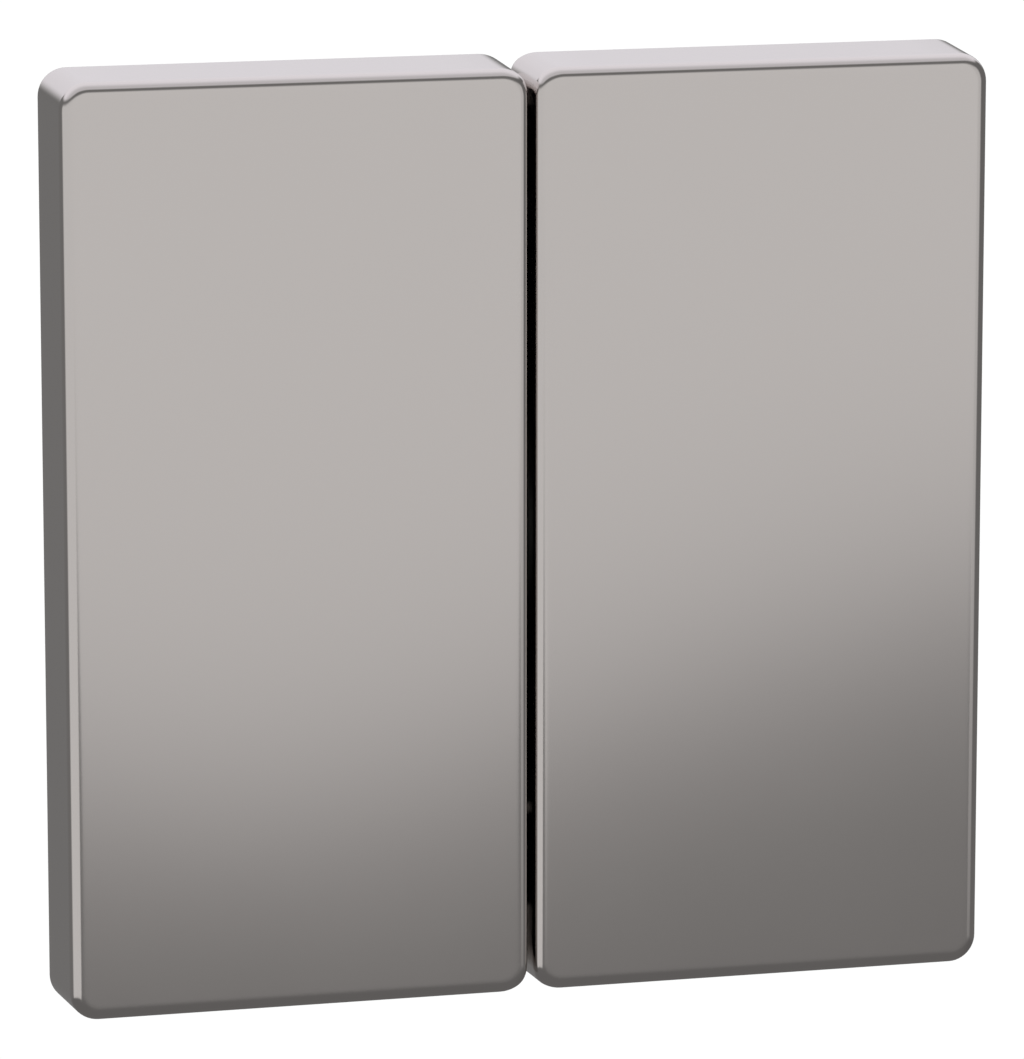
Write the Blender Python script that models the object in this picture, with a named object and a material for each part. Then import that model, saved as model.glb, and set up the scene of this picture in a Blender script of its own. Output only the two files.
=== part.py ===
"""Two-gang rocker wall switch: two metal rockers on a flush-mounted insert.

Frame: +X to the right, +Z up, +Y into the wall, so the rockers face -Y. The origin is the middle of
the support plate's back face, which lies on the wall. Sizes below are millimetres; the meshes are
made in metres. The pieces are modelled with the rockers level, and an empty on each joint's axis
then turns or carries everything that moves with it to the rest position, where both circuits are
off and the lower ends of the rockers are pressed in.
"""

import math

import bmesh
import bpy
from mathutils import Matrix, Vector

MM = 0.001
NAME = "rocker_wall_switch"
SIDES = {"left": -1, "right": 1}
ENDS = {"lower": -1, "upper": 1}
FIT = 0.3  # gap between pieces that touch
OVERLAP = 0.4  # how far joined shapes run into each other
THROUGH = 1.0  # how far a cutter runs past the wall that it cuts

# Rockers
ROCKER_GAP = 0.3
ROCKER_WIDTH = 35.1
ROCKER_HEIGHT = 70.0
ROCKER_FRONT = -11.2
ROCKER_DEPTH = 7.6
ROCKER_DRAFT = 0.04
ROCKER_CORNER = 2.1
ROCKER_EDGE = 0.65
FACE_THICKNESS = 1.8
WALL_THICKNESS = 1.6
PIVOT_Y = 3.3
REST_TILT = 3.5
RELIEF_RADIUS = 12.5
ROCKER_BACK = ROCKER_FRONT + ROCKER_DEPTH
ROCKER_INNER = ROCKER_GAP / 2
ROCKER_OUTER = ROCKER_INNER + ROCKER_WIDTH
CEILING = ROCKER_FRONT + FACE_THICKNESS

# Support plate and the opening that the insert fills
PLATE_WIDTH = 67.0
PLATE_HEIGHT = 64.0
PLATE_THICKNESS = 1.0
PLATE_CORNER = 4.0
OPENING_WIDTH = 42.4
OPENING_HEIGHT = 47.0
FIXING_SPACING = 60.0
SLOT_WIDTH = 3.6
SLOT_LENGTH = 9.0
NOTCH_HALF = 6.0
NOTCH_DEPTH = 1.5
TAB_WIDTH = 7.0
TAB_X = 8.5
TAB_Z = 26.3
TAB_REACH = 3.6
TAB_FOLD = 2.6

# Housing
HOUSING_WIDTH = 41.4
HOUSING_HEIGHT = 46.0
HOUSING_FRONT = 0.6
HOUSING_BACK = 24.0
HOUSING_WALL = 1.5
HOUSING_CHAMFER = 8.0
BOSS_X = 15.6
BOSS_Z = 14.5
BOSS_RADIUS = 2.2
COVER_SCREW_END = 9.0
LIP_FRONT = -2.3
LIP_HALF = 4.5
LIP_REACH = 2.5
PARTITION = 1.6

# Cover over the mechanism, with the bearings of the toggles
COVER_FRONT = -1.5
COVER_THICKNESS = 1.8
WEB_HALF = 1.1
WEB_RADIUS = 12.0
WINDOW_HALF_WIDTH = 5.0
WINDOW_HALF_HEIGHT = 7.0
BEARING_DEPTH = 2.8
BEARING_HALF = 4.2
BEARING_RADIUS = 1.65
TRUNNION_RADIUS = 1.3
OUTER_BEARING_X = 17.3
OUTER_BEARING_WIDTH = 1.4
COVER_BACK = COVER_FRONT + COVER_THICKNESS

# Toggles, plungers and contact rockers
TOGGLE_X = 9.9
TOGGLE_HALF = 6.8
TOGGLE_FRONT = -6.0
TOGGLE_PLATE = 1.8
TOGGLE_REACH = 11.0
BARREL_RADIUS = 3.5
BARREL_END = 10.5
BORE_RADIUS = 2.6
BORE_FLOOR = 2.2
PLUNGER_RADIUS = 2.2
PLUNGER_TIP = 15.1
CONTACT_PIVOT_Y = 16.0
CONTACT_TILT = 9.0
CONTACT_THICKNESS = 0.8
CONTACT_HALF = 3.0
CONTACT_LOW = -11.4
CONTACT_HIGH = 7.5
CONTACT_Z = -9.5
FIXED_CONTACT_Z = -9.15
RIVET_HOLE = 1.1
RIVET_SHANK = 0.75
STRIP_Y = 20.5
STRIP_THICKNESS = 0.8

# Wire clamps: two switched ones below, the common one above
CLAMP_BAR = 12.9
CLAMP_BAR_FRONT = 13.0
CLAMP_HALF = 3.1
LEAF_THICKNESS = 0.4
LEAF_HALF = 3.0
WIRE_Z = 14.9
WIRE_RADIUS = 1.25
WIRE_PITCH = 3.6
BUTTON_Z = 17.7
BUTTON_THICKNESS = 1.4
BUTTON_WIDTH = 6.0
BUTTON_PROUD = 1.4
BUTTON_SHOULDER = 1.3
CLAMPS = {"left": (-TOGGLE_X, -1), "right": (TOGGLE_X, -1), "line": (0.0, 1)}

# Spreading claws
CLAW_Z = 6.5
CLAW_HINGE_X = 23.1
CLAW_HINGE_Y = 4.2
CLAW_HALF = 3.9
CLAW_SCREW_X = 25.9
CLAW_BACK = 18.5
CLAW_THICKNESS = 1.0
CLAW_LEG_Y = 5.4
CLAW_SLOT_HALF = 1.6
CLAW_SLOT_END = 10.0
CLAW_SCREW_END = 8.6
TOOTH_PITCH = 2.6
EAR_THICKNESS = 1.0


def make_collection(name):
    collection = bpy.data.collections.new(name)
    bpy.context.scene.collection.children.link(collection)
    return collection


def clear_scene():
    for obj in list(bpy.data.objects):
        bpy.data.objects.remove(obj)


clear_scene()
parts = make_collection(NAME)
helpers = make_collection(NAME + "_cutters")


def add_object(name, mesh):
    """A helper object until finish() makes it one of the parts."""
    obj = bpy.data.objects.new(name, mesh)
    helpers.objects.link(obj)
    obj.hide_render = True
    obj.display_type = "WIRE"
    return obj


def mesh_object(name, bm):
    """A bmesh in millimetres becomes an object in metres, with its faces pointing out."""
    bmesh.ops.recalc_face_normals(bm, faces=bm.faces)
    bmesh.ops.scale(bm, vec=(MM, MM, MM), verts=bm.verts)
    mesh = bpy.data.meshes.new(name)
    bm.to_mesh(mesh)
    bm.free()
    return add_object(name, mesh)


def cube_between(low, high):
    """A bmesh box between two corners, in any order."""
    pairs = [sorted(pair) for pair in zip(low, high)]
    size = [b - a for a, b in pairs]
    middle = [(a + b) / 2 for a, b in pairs]
    bm = bmesh.new()
    bmesh.ops.create_cube(bm, size=1, matrix=Matrix.Translation(middle) @ Matrix.Diagonal((*size, 1)))
    return bm


def box(name, low, high):
    return mesh_object(name, cube_between(low, high))


def block_with_corners(name, low, high, corner, segments=1):
    """A box whose four edges along Y are chamfered, or rounded where there are more segments."""
    bm = cube_between(low, high)
    round_edges_along_y(bm, corner, segments)
    return mesh_object(name, bm)


def round_edges_along_y(bm, radius, segments):
    along = [e for e in bm.edges if abs((e.verts[0].co - e.verts[1].co).normalized().y) > 0.9]
    bmesh.ops.bevel(bm, geom=along, offset=radius, segments=segments, profile=0.5, affect="EDGES")


def rod(name, start, end, radius, segments=24, end_radius=None):
    """A cylinder, or a cone, between two points."""
    start, end = Vector(start), Vector(end)
    along = end - start
    place = Matrix.Translation((start + end) / 2) @ along.to_track_quat("Z", "Y").to_matrix().to_4x4()
    bm = bmesh.new()
    bmesh.ops.create_cone(
        bm,
        cap_ends=True,
        segments=segments,
        radius1=radius,
        radius2=radius if end_radius is None else end_radius,
        depth=along.length,
        matrix=place,
    )
    return mesh_object(name, bm)


def ball(name, centre, radius, segments=20):
    bm = bmesh.new()
    bmesh.ops.create_uvsphere(
        bm, u_segments=segments, v_segments=segments // 2, radius=radius, matrix=Matrix.Translation(centre)
    )
    return mesh_object(name, bm)


def strip(name, points, width_from, width_to, thickness):
    """A bent strip of sheet: a path of (y, z) points with a thickness, as wide as the two x values."""
    outline = offset_path(points, thickness / 2) + offset_path(points, -thickness / 2)[::-1]
    curve = bpy.data.curves.new(name, "CURVE")
    curve.dimensions = "2D"
    curve.fill_mode = "BOTH"
    curve.extrude = abs(width_to - width_from) / 2 * MM
    spline = curve.splines.new("POLY")
    spline.points.add(len(outline) - 1)
    for point, (y, z) in zip(spline.points, outline):
        point.co = (y * MM, z * MM, 0, 1)
    spline.use_cyclic_u = True
    turn = Matrix(((0, 0, 1, 0), (1, 0, 0, 0), (0, 1, 0, 0), (0, 0, 0, 1)))
    place = Matrix.Translation(((width_from + width_to) / 2 * MM, 0, 0)) @ turn
    return curve_to_mesh(name, curve, place)


def offset_path(points, distance):
    """The path moved sideways, with mitred corners."""
    path = [Vector(p) for p in points]
    moved = []
    for i, point in enumerate(path):
        before = (point - path[i - 1]).normalized() if i else None
        after = (path[i + 1] - point).normalized() if i + 1 < len(path) else None
        along = (before + after).normalized() if before and after else before or after
        stretch = along.dot(before) if before else 1.0
        moved.append(point + Vector((-along.y, along.x)) * distance / stretch)
    return moved


def curve_to_mesh(name, curve, place):
    """The curve's own mesh, welded, in place of the curve."""
    source = bpy.data.objects.new(name + "_curve", curve)
    helpers.objects.link(source)
    graph = bpy.context.evaluated_depsgraph_get()
    graph.update()
    mesh = bpy.data.meshes.new_from_object(source.evaluated_get(graph))
    bpy.data.objects.remove(source)
    bm = bmesh.new()
    bm.from_mesh(mesh)
    bmesh.ops.remove_doubles(bm, verts=bm.verts, dist=1e-6)
    bmesh.ops.transform(bm, matrix=place, verts=bm.verts)
    bmesh.ops.recalc_face_normals(bm, faces=bm.faces)
    bm.to_mesh(mesh)
    bm.free()
    return add_object(name, mesh)


def combine(target, operation, others):
    for other in others:
        modifier = target.modifiers.new(other.name, "BOOLEAN")
        modifier.operation = operation
        modifier.object = other
    return target


def join(target, *others):
    return combine(target, "UNION", others)


def cut(target, *others):
    return combine(target, "DIFFERENCE", others)


def make_finish(name, colour, roughness, metallic):
    material = bpy.data.materials.new(name)
    material.use_nodes = True
    shader = material.node_tree.nodes["Principled BSDF"]
    shader.inputs["Base Color"].default_value = (*colour, 1)
    shader.inputs["Roughness"].default_value = roughness
    shader.inputs["Metallic"].default_value = metallic
    return material


def finish(obj, colour, roughness, metallic, smooth_angle=35):
    """Makes the object one of the parts, with its own material."""
    helpers.objects.unlink(obj)
    parts.objects.link(obj)
    obj.hide_render = False
    obj.display_type = "TEXTURED"
    obj.data.materials.clear()
    obj.data.materials.append(make_finish(obj.name + "_finish", colour, roughness, metallic))
    obj.data.shade_smooth()
    obj.data.set_sharp_from_angle(angle=math.radians(smooth_angle))
    return obj


SATIN_METAL = ((0.45, 0.43, 0.41), 0.32, 1.0)
ZINC = ((0.55, 0.57, 0.58), 0.4, 1.0)
STEEL = ((0.5, 0.5, 0.5), 0.3, 1.0)
BRASS = ((0.75, 0.55, 0.25), 0.35, 1.0)
SILVER = ((0.85, 0.84, 0.8), 0.25, 1.0)
WHITE_PLASTIC = ((0.8, 0.8, 0.77), 0.5, 0.0)
GREY_PLASTIC = ((0.3, 0.31, 0.32), 0.5, 0.0)
DARK_PLASTIC = ((0.03, 0.032, 0.03), 0.5, 0.0)
BUTTON_PLASTIC = ((0.75, 0.35, 0.05), 0.45, 0.0)


def joint_empty(name, at, turn=0.0):
    """An empty on a joint's axis. Its turn, about X, takes the pieces from level to rest."""
    empty = bpy.data.objects.new(name, None)
    empty.empty_display_size = 0.01
    empty.location = Vector(at) * MM
    empty.rotation_euler.x = math.radians(turn)
    parts.objects.link(empty)
    return empty


def carry(empty, *objects):
    """Parents pieces, and the shapes that cut or join them, so that the empty turns them about its axis."""
    for obj in objects:
        obj.parent = empty
        obj.matrix_parent_inverse = Matrix.Translation(-empty.location)
        shapes = [m.object for m in obj.modifiers if m.type == "BOOLEAN"]
        carry(empty, *shapes)


# Rockers


def drafted_box(name, inner, outer, half_height, front, back, draft, corner, edge):
    """A box that narrows towards its front by the draft, with rounded corners and front edges."""
    bm = bmesh.new()
    bmesh.ops.create_cube(bm, size=2)
    middle, half_width = (inner + outer) / 2, abs(outer - inner) / 2
    inset = draft * (back - front)
    for vertex in bm.verts:
        shrink = inset if vertex.co.y < 0 else 0.0
        y = front if vertex.co.y < 0 else back
        x = middle + vertex.co.x * (half_width - shrink)
        vertex.co = (x, y, vertex.co.z * (half_height - shrink))
    round_edges_along_y(bm, corner, 5)
    if edge:
        face = min(bm.faces, key=lambda f: f.calc_center_median().y)
        bmesh.ops.bevel(bm, geom=list(face.edges), offset=edge, segments=3, profile=0.5, affect="EDGES")
    return mesh_object(name, bm)


def rocker_shell(label, side):
    """The metal rocker: a face with four walls, relieved in its inner wall for the bearing web."""
    half_height = ROCKER_HEIGHT / 2
    shell = drafted_box(
        "rocker_shell_" + label,
        side * ROCKER_INNER,
        side * ROCKER_OUTER,
        half_height,
        ROCKER_FRONT,
        ROCKER_BACK,
        ROCKER_DRAFT,
        ROCKER_CORNER,
        ROCKER_EDGE,
    )
    hollow = drafted_box(
        "rocker_hollow_" + label,
        side * (ROCKER_INNER + WALL_THICKNESS),
        side * (ROCKER_OUTER - WALL_THICKNESS),
        half_height - WALL_THICKNESS,
        CEILING,
        ROCKER_BACK + THROUGH,
        ROCKER_DRAFT,
        ROCKER_CORNER / 2,
        0.0,
    )
    relief = rod(
        "rocker_relief_" + label,
        (-side * THROUGH, PIVOT_Y, 0),
        (side * (ROCKER_INNER + WALL_THICKNESS + OVERLAP), PIVOT_Y, 0),
        RELIEF_RADIUS,
        72,
    )
    cut(shell, hollow, relief)
    return finish(shell, *SATIN_METAL)


def rocker_carrier(label, side):
    """The moulded carrier bonded inside the shell, with a rim, two ribs and two snap arms."""
    inner, outer = side * 2.8, side * 32.6
    front, back, rim_back = CEILING + FIT, CEILING + 1.5, CEILING + 3.1
    reach, rim = 32.2, 1.0
    carrier = block_with_corners(
        "rocker_carrier_" + label, (inner, front, -reach), (outer, rim_back, reach), 1.2, 2
    )
    hollow = box(
        "carrier_hollow_" + label,
        (inner + side * rim, back, -reach + rim),
        (outer - side * rim, rim_back + THROUGH, reach - rim),
    )
    cut(carrier, hollow)
    middle, arm_half, rib_half = side * TOGGLE_X, 4.0, 6.0
    near, far = TOGGLE_REACH + FIT, TOGGLE_REACH + FIT + 1.4
    hook_front = TOGGLE_FRONT + TOGGLE_PLATE + FIT
    hook_back = hook_front + 0.9
    for end, sign in ENDS.items():
        arm = box(
            f"carrier_arm_{end}_{label}",
            (middle - arm_half, back - OVERLAP, sign * near),
            (middle + arm_half, hook_back, sign * far),
        )
        hook = box(
            f"carrier_hook_{end}_{label}",
            (middle - arm_half, hook_front, sign * (near - 1.1)),
            (middle + arm_half, hook_back, sign * (near + OVERLAP)),
        )
        rib = box(
            f"carrier_rib_{end}_{label}",
            (middle - rib_half, back - OVERLAP, sign * 6.0),
            (middle + rib_half, TOGGLE_FRONT - FIT, sign * 7.2),
        )
        join(carrier, arm, hook, rib)
    return finish(carrier, *GREY_PLASTIC)


# Mechanism


def toggle(label, side):
    """The toggle: a plate that the carrier snaps onto, a stem, a hub with two trunnions, a barrel."""
    middle = side * TOGGLE_X
    plate_back = TOGGLE_FRONT + TOGGLE_PLATE
    stem_half, stem_height, hub_radius = 4.0, 4.4, 2.4
    body = box(
        "toggle_" + label,
        (middle - TOGGLE_HALF, TOGGLE_FRONT, -TOGGLE_REACH),
        (middle + TOGGLE_HALF, plate_back, TOGGLE_REACH),
    )
    stem = box(
        "toggle_stem_" + label,
        (middle - stem_half, plate_back - OVERLAP, -stem_height),
        (middle + stem_half, PIVOT_Y, stem_height),
    )
    hub = rod(
        "toggle_hub_" + label,
        (middle - TOGGLE_HALF, PIVOT_Y, 0),
        (middle + TOGGLE_HALF, PIVOT_Y, 0),
        hub_radius,
    )
    trunnions = rod(
        "toggle_trunnions_" + label,
        (side * 0.4, PIVOT_Y, 0),
        (side * (OUTER_BEARING_X + OUTER_BEARING_WIDTH - FIT), PIVOT_Y, 0),
        TRUNNION_RADIUS,
    )
    barrel = rod("toggle_barrel_" + label, (middle, 0, 0), (middle, BARREL_END, 0), BARREL_RADIUS)
    bore = rod("toggle_bore_" + label, (middle, BORE_FLOOR, 0), (middle, BARREL_END + 1, 0), BORE_RADIUS)
    join(body, stem, hub, trunnions, barrel)
    cut(body, bore)
    return finish(body, *WHITE_PLASTIC)


def plunger(label, side):
    """The plunger: a round-nosed pin with a tail that guides the spring."""
    middle, start, tail_start, tail_radius = side * TOGGLE_X, 8.0, 4.6, 0.9
    nose = PLUNGER_TIP - PLUNGER_RADIUS
    body = rod("plunger_" + label, (middle, start, 0), (middle, nose, 0), PLUNGER_RADIUS, 20)
    tip = ball("plunger_nose_" + label, (middle, nose, 0), PLUNGER_RADIUS * 0.999)
    tail = rod(
        "plunger_tail_" + label, (middle, tail_start, 0), (middle, start + OVERLAP, 0), tail_radius, 16
    )
    join(body, tip, tail)
    return finish(body, *WHITE_PLASTIC)


def plunger_spring(label, side):
    """A compression spring in the toggle's bore."""
    start, end, turns, steps = 2.9, 7.3, 5, 12
    radius, wire = 1.8, 0.25
    curve = bpy.data.curves.new("plunger_spring_" + label, "CURVE")
    curve.dimensions = "3D"
    curve.bevel_depth = wire * MM
    curve.bevel_resolution = 1
    curve.use_fill_caps = True
    spline = curve.splines.new("POLY")
    count = turns * steps
    spline.points.add(count)
    for i, point in enumerate(spline.points):
        angle = 2 * math.pi * i / steps
        y = start + (end - start) * i / count
        x = side * TOGGLE_X + radius * math.cos(angle)
        point.co = (x * MM, y * MM, radius * math.sin(angle) * MM, 1)
    return finish(curve_to_mesh("plunger_spring_" + label, curve, Matrix()), *STEEL)


def contact_rocker(label, side):
    """The contact rocker: a strip that tips on the busbar's post, held sideways by two cheeks."""
    middle = side * TOGGLE_X
    front = CONTACT_PIVOT_Y - CONTACT_THICKNESS / 2
    back = CONTACT_PIVOT_Y + CONTACT_THICKNESS / 2
    half, cheek_thickness, cheek_depth, cheek_half = CONTACT_HALF, 0.7, 2.0, 1.6
    body = box(
        "contact_rocker_" + label, (middle - half, front, CONTACT_LOW), (middle + half, back, CONTACT_HIGH)
    )
    for sign, edge in ((-1, "low"), (1, "high")):
        cheek = box(
            f"contact_cheek_{edge}_{label}",
            (middle + sign * (half - cheek_thickness), back - OVERLAP, -cheek_half),
            (middle + sign * half, back + cheek_depth, cheek_half),
        )
        join(body, cheek)
    cut(body, rivet_hole("contact_hole_" + label, middle, front, back, CONTACT_Z))
    return finish(body, *BRASS)


def rivet_hole(name, x, front, back, z):
    return rod(name, (x, front - THROUGH, z), (x, back + THROUGH, z), RIVET_HOLE, 20)


def moving_contact(label, side):
    """The silver rivet through the lower end of the contact rocker."""
    middle = side * TOGGLE_X
    front = CONTACT_PIVOT_Y - CONTACT_THICKNESS / 2 - FIT
    back = CONTACT_PIVOT_Y + CONTACT_THICKNESS / 2 + FIT
    return rivet("moving_contact_" + label, middle, CONTACT_Z, front, back, (1.3, 0.6), (1.7, 0.9))


def fixed_contact(label, side):
    """The silver rivet in the fixed strip, which the moving contact meets."""
    middle = side * TOGGLE_X
    front = STRIP_Y - FIT
    back = STRIP_Y + STRIP_THICKNESS + FIT
    return rivet("fixed_contact_" + label, middle, FIXED_CONTACT_Z, front, back, (1.7, 0.8), (1.7, 0.4))


def rivet(name, x, z, front, back, front_head, back_head):
    """A shank with a head at each end, each given as (radius, height)."""
    front_radius, front_height = front_head
    back_radius, back_height = back_head
    reach = OVERLAP / 2
    shank = rod(name, (x, front - reach, z), (x, back + reach, z), RIVET_SHANK, 16)
    near = rod(name + "_front", (x, front - front_height, z), (x, front, z), front_radius, 20)
    far = rod(name + "_back", (x, back, z), (x, back + back_height, z), back_radius, 20)
    join(shank, near, far)
    return finish(shank, *SILVER)


# Terminals


def clamp_bar(name, x, sign):
    """The flat that a wire is pressed against, standing off a strip that lies on the housing's back."""
    return box(
        name,
        (x - CLAMP_HALF, CLAMP_BAR_FRONT, sign * (CLAMP_BAR - STRIP_THICKNESS / 2)),
        (x + CLAMP_HALF, STRIP_Y + STRIP_THICKNESS, sign * (CLAMP_BAR + STRIP_THICKNESS / 2)),
    )


def fixed_terminal(label, side):
    """The switched terminal: a strip with the fixed contact's hole, bent up into a clamp bar."""
    middle, half, top = side * TOGGLE_X, 2.6, -7.0
    back = STRIP_Y + STRIP_THICKNESS
    body = box(
        "fixed_terminal_" + label, (middle - half, STRIP_Y, top), (middle + half, back, -CLAMP_BAR)
    )
    join(body, clamp_bar("fixed_bar_" + label, middle, -1))
    cut(body, rivet_hole("fixed_hole_" + label, middle, STRIP_Y, back, FIXED_CONTACT_Z))
    return finish(body, *BRASS)


def common_busbar():
    """The common conductor: a cross strip with two posts for the contact rockers, and a clamp bar."""
    back = STRIP_Y + STRIP_THICKNESS
    reach, half_height, riser_half = TOGGLE_X + CONTACT_HALF, 2.0, 3.0
    post_half, post_thickness, edge_radius = 1.9, 0.5, 0.4
    tip = CONTACT_PIVOT_Y + CONTACT_THICKNESS / 2 + FIT + edge_radius
    body = box("common_busbar", (-reach, STRIP_Y, -half_height), (reach, back, half_height))
    riser = box("busbar_riser", (-riser_half, STRIP_Y, half_height - OVERLAP), (riser_half, back, CLAMP_BAR))
    join(body, riser, clamp_bar("busbar_clamp", 0.0, 1))
    for label, side in SIDES.items():
        low, high = side * TOGGLE_X - post_half, side * TOGGLE_X + post_half
        post = box(
            "busbar_post_" + label,
            (low, tip, -post_thickness / 2),
            (high, STRIP_Y + OVERLAP, post_thickness / 2),
        )
        edge = rod("busbar_edge_" + label, (low, tip, 0), (high, tip, 0), edge_radius, 12)
        join(body, post, edge)
    return finish(body, *BRASS)


def clamp_spring(label):
    """A hairpin leaf: one leg on the housing's wall, the other slanting to the clamp bar."""
    x, sign = CLAMPS[label]
    path = [(14.0, 20.1), (18.4, 20.1), (19.1, 19.7), (19.1, 18.8), (18.5, 18.1), (14.4, 14.0)]
    points = [(y, sign * z) for y, z in path]
    leaf = strip("clamp_spring_" + label, points, x - LEAF_HALF, x + LEAF_HALF, LEAF_THICKNESS)
    return finish(leaf, *STEEL)


def release_button(label):
    """The button beside the wire holes, with a shoulder that keeps it in the housing."""
    x, sign = CLAMPS[label]
    half, z = BUTTON_WIDTH / 2, sign * BUTTON_Z
    thick, front, wider, deeper = BUTTON_THICKNESS / 2, 19.6, 0.5, 0.35
    shoulder_back = HOUSING_BACK - HOUSING_WALL - FIT
    name = "release_button_" + label
    body = box(name, (x - half, front, z - thick), (x + half, HOUSING_BACK + BUTTON_PROUD, z + thick))
    shoulder = box(
        name + "_shoulder",
        (x - half - wider, shoulder_back - BUTTON_SHOULDER, z - thick - deeper),
        (x + half + wider, shoulder_back, z + thick + deeper),
    )
    join(body, shoulder)
    return finish(body, *BUTTON_PLASTIC)


# Housing, cover and plate


def tab_places():
    """(tag, x, sign of z) of each place where a tab of the plate folds over a lip of the housing."""
    for end, sign in ENDS.items():
        for label, side in SIDES.items():
            yield f"{end}_{label}", side * TAB_X, sign


def base_housing():
    """The moulded base: chamfered walls, four lips that lie on the plate, bosses and a partition."""
    half_width, half_height = HOUSING_WIDTH / 2, HOUSING_HEIGHT / 2
    inner_width, inner_height = half_width - HOUSING_WALL, half_height - HOUSING_WALL
    floor = HOUSING_BACK - HOUSING_WALL
    body = block_with_corners(
        "base_housing",
        (-half_width, HOUSING_FRONT, -half_height),
        (half_width, HOUSING_BACK, half_height),
        HOUSING_CHAMFER,
    )
    hollow = block_with_corners(
        "housing_hollow",
        (-inner_width, HOUSING_FRONT - THROUGH, -inner_height),
        (inner_width, floor, inner_height),
        HOUSING_CHAMFER - 0.6 * HOUSING_WALL,
    )
    cut(body, hollow)
    for tag, x, sign in tab_places():
        riser = box(
            "housing_riser_" + tag,
            (x - LIP_HALF, LIP_FRONT, sign * inner_height),
            (x + LIP_HALF, HOUSING_FRONT + THROUGH, sign * half_height),
        )
        lip = box(
            "housing_lip_" + tag,
            (x - LIP_HALF, LIP_FRONT, sign * (half_height - OVERLAP)),
            (x + LIP_HALF, -PLATE_THICKNESS - FIT, sign * (half_height + LIP_REACH)),
        )
        join(body, riser, lip)
    for tag, sign in ENDS.items():
        x, z = -sign * BOSS_X, sign * BOSS_Z
        boss = rod("housing_boss_" + tag, (x, HOUSING_FRONT, z), (x, floor + OVERLAP, z), BOSS_RADIUS)
        pilot = rod(
            "housing_pilot_" + tag, (x, HOUSING_FRONT - THROUGH, z), (x, COVER_SCREW_END + 1, z), 1.3, 16
        )
        join(body, boss)
        cut(body, pilot)
    half, front, top, root_top = PARTITION / 2, 7.0, 11.0, -3.0
    bottom = -inner_height - OVERLAP
    partition = box("housing_partition", (-half, front, bottom), (half, STRIP_Y - OVERLAP, top))
    root = box("housing_partition_root", (-half, front, bottom), (half, floor + OVERLAP, root_top))
    join(body, partition, root)
    for label, (x, sign) in CLAMPS.items():
        cut(body, *wire_cutters(label, x, sign))
    return finish(body, *GREY_PLASTIC)


def wire_cutters(label, x, sign):
    """The two wire holes and the button's slot of one clamp, through the housing's back."""
    start, end = HOUSING_BACK - HOUSING_WALL - THROUGH, HOUSING_BACK + THROUGH
    for tag, side in SIDES.items():
        across, z = x + side * WIRE_PITCH / 2, sign * WIRE_Z
        yield rod(f"wire_hole_{label}_{tag}", (across, start, z), (across, end, z), WIRE_RADIUS, 20)
    half = BUTTON_WIDTH / 2 + FIT
    thick = BUTTON_THICKNESS / 2 + FIT
    z = sign * BUTTON_Z
    yield box("button_slot_" + label, (x - half, start, z - thick), (x + half, end, z + thick))


def mechanism_cover():
    """The cover: a plate with two windows, the round-nosed web between the toggles, and bearings."""
    half_width, half_height = HOUSING_WIDTH / 2 - FIT, HOUSING_HEIGHT / 2 - HOUSING_WALL - FIT
    bearing_back = PIVOT_Y + BEARING_DEPTH
    body = block_with_corners(
        "mechanism_cover",
        (-half_width, COVER_FRONT, -half_height),
        (half_width, COVER_BACK, half_height),
        HOUSING_CHAMFER - HOUSING_WALL,
    )
    nose = rod("web_nose", (-WEB_HALF, PIVOT_Y, 0), (WEB_HALF, PIVOT_Y, 0), WEB_RADIUS, 72)
    past = WEB_RADIUS + THROUGH
    behind_cover = box(
        "web_nose_trim",
        (-WEB_HALF - THROUGH, COVER_BACK - OVERLAP, -past),
        (WEB_HALF + THROUGH, PIVOT_Y + past, past),
    )
    cut(nose, behind_cover)
    foot = box("web_foot", (-WEB_HALF, COVER_FRONT, -BEARING_HALF), (WEB_HALF, bearing_back, BEARING_HALF))
    join(body, nose, foot)
    for label, side in SIDES.items():
        x = side * TOGGLE_X
        window = box(
            "cover_window_" + label,
            (x - WINDOW_HALF_WIDTH, COVER_FRONT - THROUGH, -WINDOW_HALF_HEIGHT),
            (x + WINDOW_HALF_WIDTH, COVER_BACK + THROUGH, WINDOW_HALF_HEIGHT),
        )
        arm = box(
            "cover_bearing_" + label,
            (side * OUTER_BEARING_X, COVER_BACK - OVERLAP, -BEARING_HALF),
            (side * (OUTER_BEARING_X + OUTER_BEARING_WIDTH), bearing_back, BEARING_HALF),
        )
        cut(body, window)
        join(body, arm)
    bearing = rod(
        "cover_bearing_bore", (-half_width, PIVOT_Y, 0), (half_width, PIVOT_Y, 0), BEARING_RADIUS
    )
    cut(body, bearing)
    for tag, sign in ENDS.items():
        x, z = -sign * BOSS_X, sign * BOSS_Z
        hole = rod("cover_hole_" + tag, (x, COVER_FRONT - 1, z), (x, COVER_BACK + 1, z), 1.4, 16)
        cut(body, hole)
    return finish(body, *DARK_PLASTIC)


def cover_screw(tag, sign):
    """A self-tapping screw that holds the cover to the housing."""
    x, z = -sign * BOSS_X, sign * BOSS_Z
    seat = COVER_FRONT - FIT
    return screw("cover_screw_" + tag, x, z, seat, COVER_SCREW_END, 0.95, 2.0, 1.1)


def screw(name, x, z, seat, end, shank_radius, head_radius, head_height):
    """A slotted pan head in front of its seat, and a plain shank behind it."""
    head = rod(name, (x, seat, z), (x, seat - head_height, z), head_radius, 24, head_radius * 0.8)
    shank = rod(name + "_shank", (x, seat - OVERLAP, z), (x, end, z), shank_radius, 16)
    slot = box(
        name + "_slot",
        (x - head_radius - 1, seat - head_height - 1, z - 0.35),
        (x + head_radius + 1, seat - head_height + 0.6, z + 0.35),
    )
    join(head, shank)
    cut(head, slot)
    return finish(head, *ZINC)


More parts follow.
